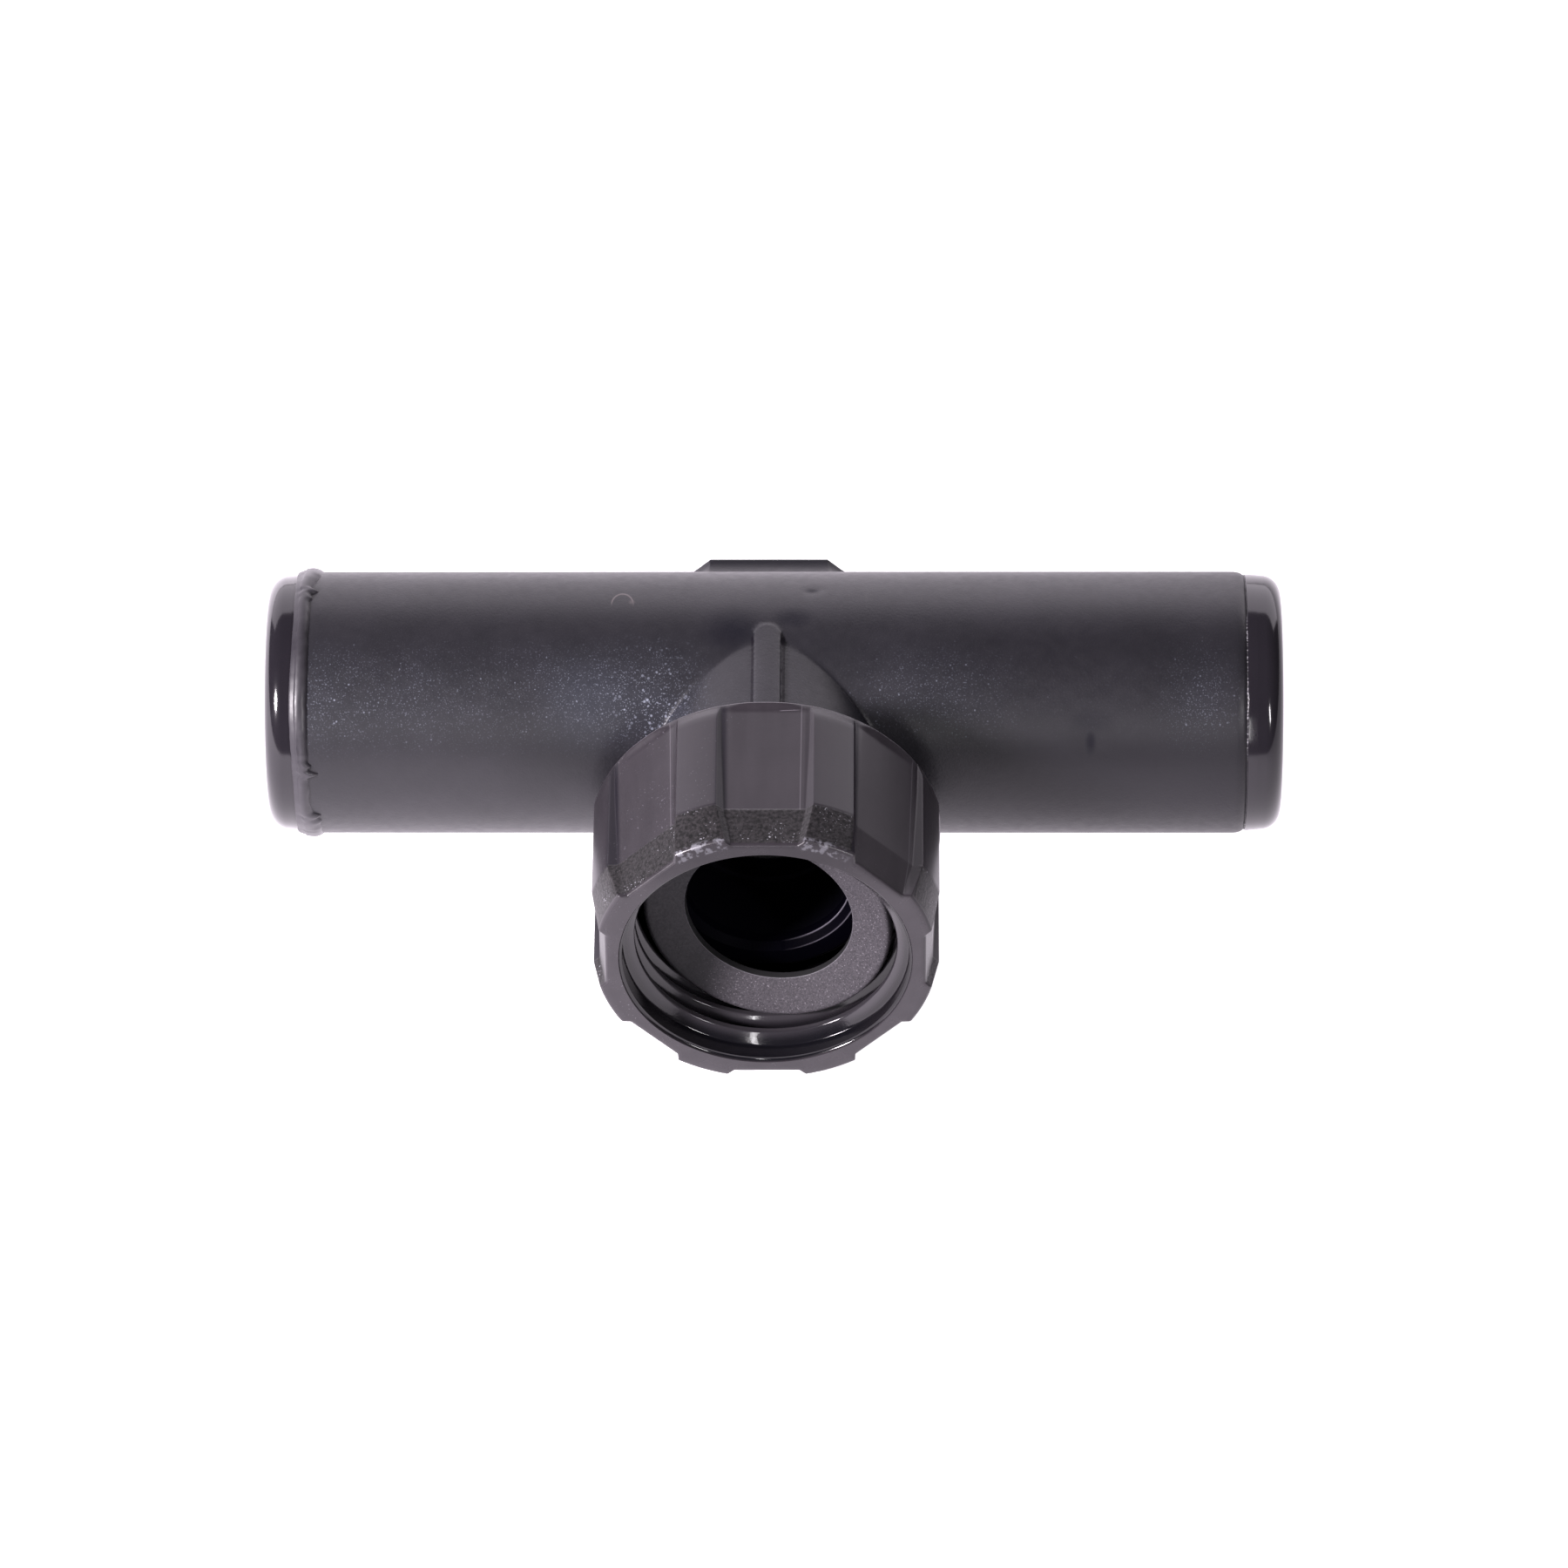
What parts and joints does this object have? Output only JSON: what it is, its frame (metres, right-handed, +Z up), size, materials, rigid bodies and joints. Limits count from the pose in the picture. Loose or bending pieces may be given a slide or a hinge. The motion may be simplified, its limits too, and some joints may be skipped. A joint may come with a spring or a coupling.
{
  "type": "irrigation tee fitting",
  "caption": "Compression swivel tee: a straight run takes drip tubing at both ends and a branch at right angles carries a captive hose-thread swivel nut.",
  "frame": {"origin": "where the run axis and the branch axis cross, in the middle of the run's waterway", "axes": "+X along the run, the branch and its swivel nut point along -Y, +Z up when the tee lies flat"},
  "size_m": [0.0982, 0.0488, 0.0334],
  "materials": {
    "body_plastic": "fine matte moulded texture, near-black",
    "ring_plastic": "polished, glossy black",
    "nut_plastic": "semi-gloss warm charcoal with worn edges",
    "washer_rubber": "matt speckled grey-black rubber"
  },
  "bodies": {
    "tee": {"tee_body": "body_plastic", "left_compression_ring": "ring_plastic", "right_compression_ring": "ring_plastic"},
    "washer": {"hose_washer": "washer_rubber"},
    "nut": {"swivel_nut": "nut_plastic"}
  },
  "joints": [
    {"name": "nut_float", "type": "slide", "parent": "tee", "child": "washer", "axis": [0, -1, 0], "range_m": [0, 0.0035]},
    {"name": "nut_spin", "type": "hinge", "parent": "washer", "child": "nut", "pos_m": [0, -0.026, 0], "axis": [0, -1, 0], "continuous": true}
  ]
}
